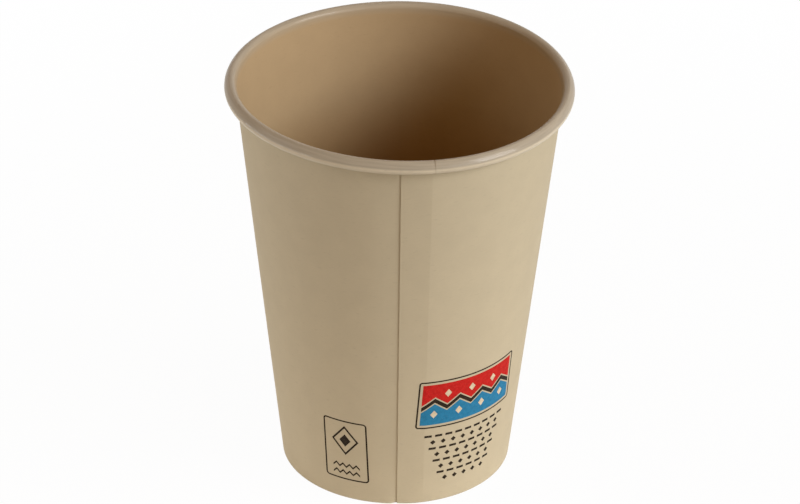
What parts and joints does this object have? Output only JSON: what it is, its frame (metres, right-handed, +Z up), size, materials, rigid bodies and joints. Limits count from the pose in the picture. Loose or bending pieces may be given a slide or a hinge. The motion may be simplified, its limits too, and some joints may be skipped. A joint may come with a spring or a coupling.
{
  "type": "paper cup",
  "caption": "Tapered single-wall paper cup with a rolled rim, a lapped side seam and a recessed base held in a turned-in foot hem; holds a hot or cold drink.",
  "frame": {"origin": "centre of the foot, on the table that the cup stands on", "axes": "+Z up along the cup's axis, -Y towards the cut edge of the side seam"},
  "size_m": [0.09, 0.09, 0.11],
  "materials": {
    "wall_board": "uncoated tan board outside, thin coating inside",
    "base_board": "tan board with a thin coating on top"
  },
  "bodies": {
    "root": {"side_wall": "wall_board", "base_disc": "base_board"}
  },
  "joints": []
}
